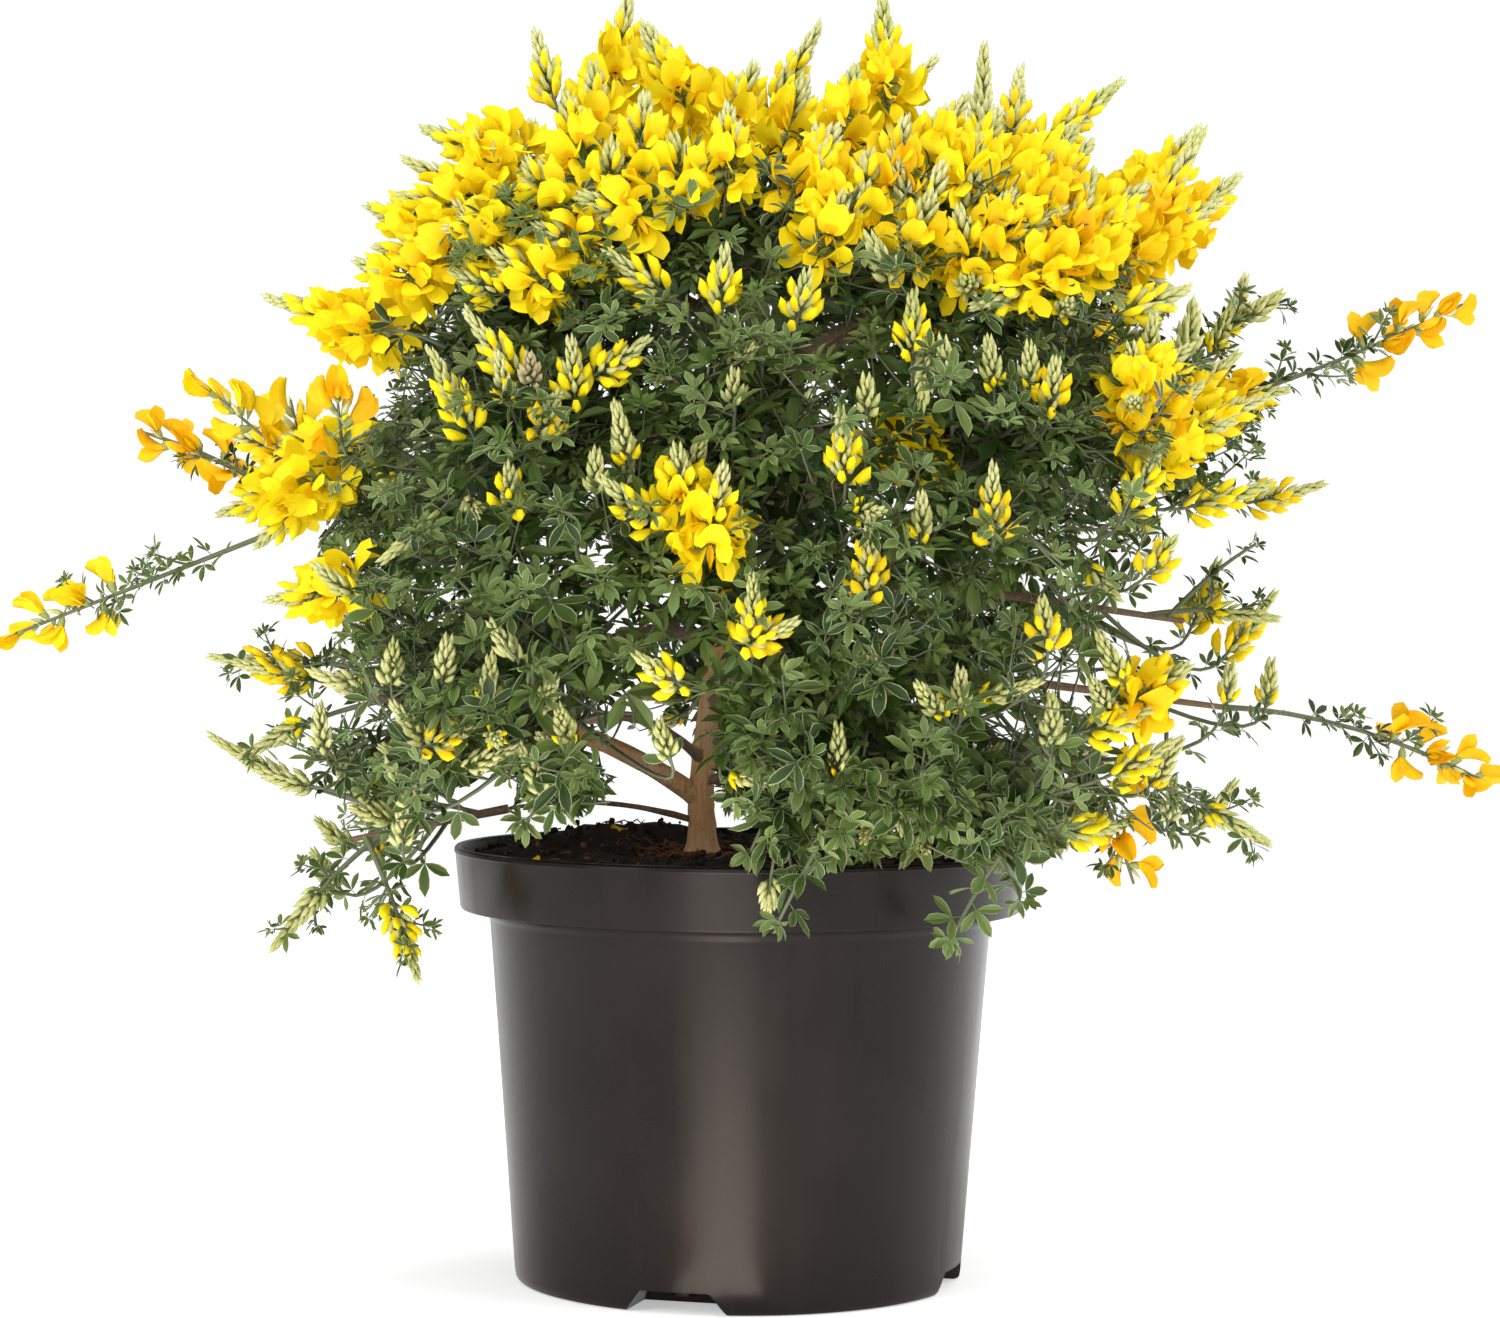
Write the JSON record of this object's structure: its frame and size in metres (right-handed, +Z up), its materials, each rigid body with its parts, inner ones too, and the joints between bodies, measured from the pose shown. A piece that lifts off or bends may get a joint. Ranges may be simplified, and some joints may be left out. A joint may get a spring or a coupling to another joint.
{
  "type": "potted sweet broom shrub",
  "caption": "Small flowering broom shrub with a dense rounded crown of small leaves and yellow pea blossom on a short trunk, growing in a round black nursery pot",
  "frame": {"origin": "centre of the pot's flat underside, on the surface that the pot stands on", "axes": "+Z up along the pot, +X to the right of the front of the plant, +Y to its back"},
  "size_m": [0.595, 0.4056, 0.5091],
  "materials": {
    "pot": "smooth near-black moulded plastic with a soft sheen and faint scuffs",
    "soil": "dark damp potting soil with fibres",
    "bark": "thin brown bark, finely furrowed",
    "foliage": "small soft green leaves with pale silky margins",
    "blossom": "yellow pea blossom, pale green buds and green leaves"
  },
  "bodies": {
    "root": {"pot": "pot", "soil": "soil", "trunk": "bark", "bough_top_left": "bark", "bough_top_right": "bark", "bough_top_front": "bark", "bough_top_back_left": "bark", "bough_top_back_right": "bark", "bough_arm_right": "bark", "bough_shoulder_left": "bark", "bough_shoulder_right": "bark", "bough_front_right": "bark", "bough_front_left": "bark", "bough_back_left": "bark", "bough_back_right": "bark", "bough_right": "bark", "bough_left": "bark", "bough_back_middle": "bark", "bough_front_middle": "bark", "bough_side_right": "bark", "bough_low_back_left": "bark", "bough_low_back_right": "bark", "bough_low_back_middle": "bark", "bough_low_front_right": "bark", "bough_spray_far_right": "bark", "bough_low_right": "bark", "bough_low_front_left": "bark", "bough_low_left": "bark", "bough_hang_front_right": "bark", "bough_hang_left": "bark", "blossom_top_middle": "blossom", "blossom_top_left": "blossom", "blossom_top_right": "blossom", "blossom_top_front": "blossom", "blossom_top_back_left": "blossom", "blossom_top_back_right": "blossom", "blossom_arm_right": "blossom", "blossom_shoulder_left": "blossom", "blossom_shoulder_right": "blossom", "foliage_front_right": "foliage", "foliage_front_left": "foliage", "foliage_back_left": "foliage", "foliage_back_right": "foliage", "blossom_right": "blossom", "blossom_left": "blossom", "foliage_back_middle": "foliage", "foliage_front_middle": "foliage", "foliage_side_right": "foliage", "foliage_low_back_left": "foliage", "foliage_low_back_right": "foliage", "foliage_low_back_middle": "foliage", "foliage_low_front_right": "foliage", "foliage_spray_far_right": "foliage", "foliage_low_right": "foliage", "foliage_low_front_left": "foliage", "foliage_low_left": "foliage", "foliage_hang_front_right": "foliage", "foliage_hang_left": "foliage"}
  },
  "joints": []
}
